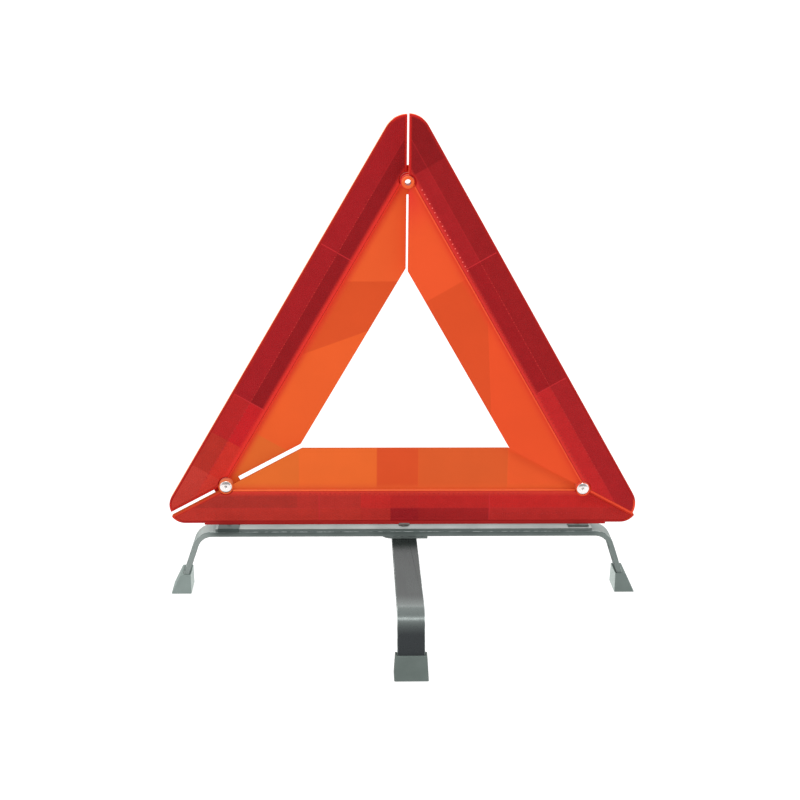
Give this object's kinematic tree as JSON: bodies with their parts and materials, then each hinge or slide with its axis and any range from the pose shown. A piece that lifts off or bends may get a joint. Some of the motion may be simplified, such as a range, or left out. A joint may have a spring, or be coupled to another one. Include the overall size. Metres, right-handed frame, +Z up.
{
  "type": "folding warning triangle",
  "caption": "Folding roadside warning triangle: reflective red and orange arms hinged at the corners, on a stand of two crossed steel strips with rubber feet.",
  "frame": {"origin": "on the ground, straight below the centre rivet of the stand", "axes": "+X along the base arm to the right seen from the front, +Y to the back, +Z up"},
  "size_m": [0.4733, 0.4292, 0.4821],
  "materials": {
    "fluorescent_orange": "glossy fluorescent orange moulding",
    "reflector_red": "clear red prismatic reflector",
    "zinc_steel": "zinc plated steel strip, satin",
    "dark_steel": "dark coated steel, satin",
    "nickel": "bright plated, slightly worn",
    "foot_rubber": "grey-green rubber, matt",
    "nylon": "natural nylon, matt"
  },
  "bodies": {
    "stand": {"base_arm_frame": "fluorescent_orange", "base_front_reflector": "reflector_red", "base_rear_reflector": "reflector_red", "left_pivot_rivet": "nickel", "right_pivot_rivet": "nickel", "left_pivot_washer": "nylon", "right_pivot_washer": "nylon", "stand_rail": "zinc_steel", "detent_plate": "zinc_steel", "centre_rivet": "dark_steel", "friction_washer": "nickel", "left_rail_clip": "dark_steel", "right_rail_clip": "dark_steel", "left_stand_screw": "nickel", "right_stand_screw": "nickel", "long_leg_strip": "zinc_steel", "left_foot": "foot_rubber", "right_foot": "foot_rubber"},
    "left_arm": {"left_arm_frame": "fluorescent_orange", "left_front_reflector": "reflector_red", "left_rear_reflector": "reflector_red"},
    "right_arm": {"right_arm_frame": "fluorescent_orange", "right_front_reflector": "reflector_red", "right_rear_reflector": "reflector_red", "apex_snap_stud": "fluorescent_orange"},
    "cross_leg": {"cross_leg_strip": "zinc_steel", "front_foot": "foot_rubber", "rear_foot": "foot_rubber"}
  },
  "joints": [
    {"name": "left_arm_fold", "type": "hinge", "parent": "stand", "child": "left_arm", "pos_m": [-0.1795, 0.0039, 0.11023], "axis": [0, 1, 0], "range_deg": [0, 57]},
    {"name": "right_arm_fold", "type": "hinge", "parent": "stand", "child": "right_arm", "pos_m": [0.1795, -0.0039, 0.11023], "axis": [0, -1, 0], "range_deg": [0, 57]},
    {"name": "cross_leg_swivel", "type": "hinge", "parent": "stand", "child": "cross_leg", "pos_m": [0, 0, 0.0548], "axis": [0, 0, 1], "range_deg": [-90, 90]}
  ]
}
